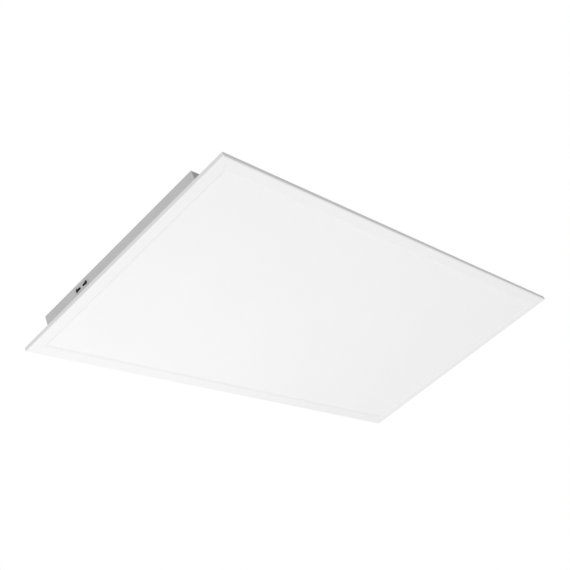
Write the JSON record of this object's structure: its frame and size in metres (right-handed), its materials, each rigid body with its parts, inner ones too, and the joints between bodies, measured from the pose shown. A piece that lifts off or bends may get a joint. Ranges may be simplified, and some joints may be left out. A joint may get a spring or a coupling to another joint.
{
  "type": "recessed led ceiling panel",
  "caption": "Recessed lay-in LED ceiling panel: opal diffuser in a flat bezel, shallow back box, slide selectors on one end, hinged wiring cover and swing-out grid clips.",
  "frame": {"origin": "middle of the bezel's front face, which is the lowest plane of the part", "axes": "+X along the long side, away from the end with the slide selectors; +Y along the short side, towards the wiring cover's hinge; +Z from the light-emitting face up into the ceiling"},
  "size_m": [1.213, 0.603, 0.0618],
  "materials": {
    "rail": "satin white powder coat",
    "key": "die-cast",
    "fastener": "zinc plated",
    "seal": "closed-cell foam",
    "diffuser": "opal, fine matt",
    "reflector": "matt white",
    "led_strip": "white solder mask",
    "led": "phosphor",
    "lens": "clear moulded",
    "connector": "moulded",
    "harness": "wire insulation",
    "housing": "pre-coated light grey sheet",
    "selector_surround": "moulded",
    "slider": "moulded",
    "switch_body": "moulded",
    "circuit_board": "solder mask",
    "cable_jacket": "jacket",
    "grommet": "moulded",
    "wiring_box": "white coat",
    "driver_case": "coated",
    "splice": "moulded",
    "line_wire": "wire insulation",
    "neutral_wire": "wire insulation",
    "ground_wire": "wire insulation",
    "dimming_wire": "wire insulation",
    "ground_screw": "green passivated",
    "hanger": "galvanised",
    "clip": "galvanised"
  },
  "bodies": {
    "panel": {"frame_rail_front": "rail", "frame_rail_rear": "rail", "frame_rail_left": "rail", "frame_rail_right": "rail", "corner_keys": "key", "flange_screws": "fastener", "end_plate_screws": "fastener", "driver_box_screws": "fastener", "driver_screws": "fastener", "board_rivets": "fastener", "hanger_rivets": "fastener", "clip_posts": "fastener", "cover_hinge_pin": "fastener", "light_seals": "seal", "diffuser_plate": "diffuser", "reflector_tray": "reflector", "led_board_1": "led_strip", "led_board_2": "led_strip", "led_board_3": "led_strip", "led_board_4": "led_strip", "led_packages": "led", "led_lenses": "lens", "board_connectors": "connector", "led_harness": "harness", "housing_pan": "housing", "end_plate_left": "housing", "end_plate_right": "housing", "selector_bezel": "selector_surround", "brightness_switch": "switch_body", "color_switch": "switch_body", "switch_board": "circuit_board", "selector_cable": "cable_jacket", "wire_grommets": "grommet", "driver_box": "wiring_box", "led_driver": "driver_case", "splice_connectors": "splice", "line_lead": "line_wire", "neutral_lead": "neutral_wire", "ground_lead": "ground_wire", "dimming_leads": "dimming_wire", "ground_screw": "ground_screw", "hanger_tab_1": "hanger", "hanger_tab_2": "hanger", "hanger_tab_3": "hanger", "hanger_tab_4": "hanger"},
    "brightness_slider": {"brightness_slider": "slider"},
    "color_slider": {"color_slider": "slider"},
    "wiring_cover": {"driver_box_cover": "wiring_box", "cover_screw": "fastener"},
    "clip_1": {"tbar_clip_1": "clip"},
    "clip_2": {"tbar_clip_2": "clip"},
    "clip_3": {"tbar_clip_3": "clip"},
    "clip_4": {"tbar_clip_4": "clip"}
  },
  "joints": [
    {"name": "brightness_slide", "type": "slide", "parent": "panel", "child": "brightness_slider", "axis": [0, 1, 0], "range_m": [0, 0.008]},
    {"name": "color_slide", "type": "slide", "parent": "panel", "child": "color_slider", "axis": [0, -1, 0], "range_m": [0, 0.008]},
    {"name": "cover_hinge", "type": "hinge", "parent": "panel", "child": "wiring_cover", "pos_m": [0, 0.0526, 0.0576], "axis": [-1, 0, 0], "range_deg": [0, 105]},
    {"name": "clip_1_swing", "type": "hinge", "parent": "panel", "child": "clip_1", "pos_m": [-0.5, -0.205, 0.0395], "axis": [0, 0, -1], "range_deg": [0, 90]},
    {"name": "clip_2_swing", "type": "hinge", "parent": "panel", "child": "clip_2", "pos_m": [0.5, -0.205, 0.0395], "axis": [0, 0, 1], "range_deg": [0, 90]},
    {"name": "clip_3_swing", "type": "hinge", "parent": "panel", "child": "clip_3", "pos_m": [0.5, 0.205, 0.0395], "axis": [0, 0, -1], "range_deg": [0, 90]},
    {"name": "clip_4_swing", "type": "hinge", "parent": "panel", "child": "clip_4", "pos_m": [-0.5, 0.205, 0.0395], "axis": [0, 0, 1], "range_deg": [0, 90]}
  ]
}
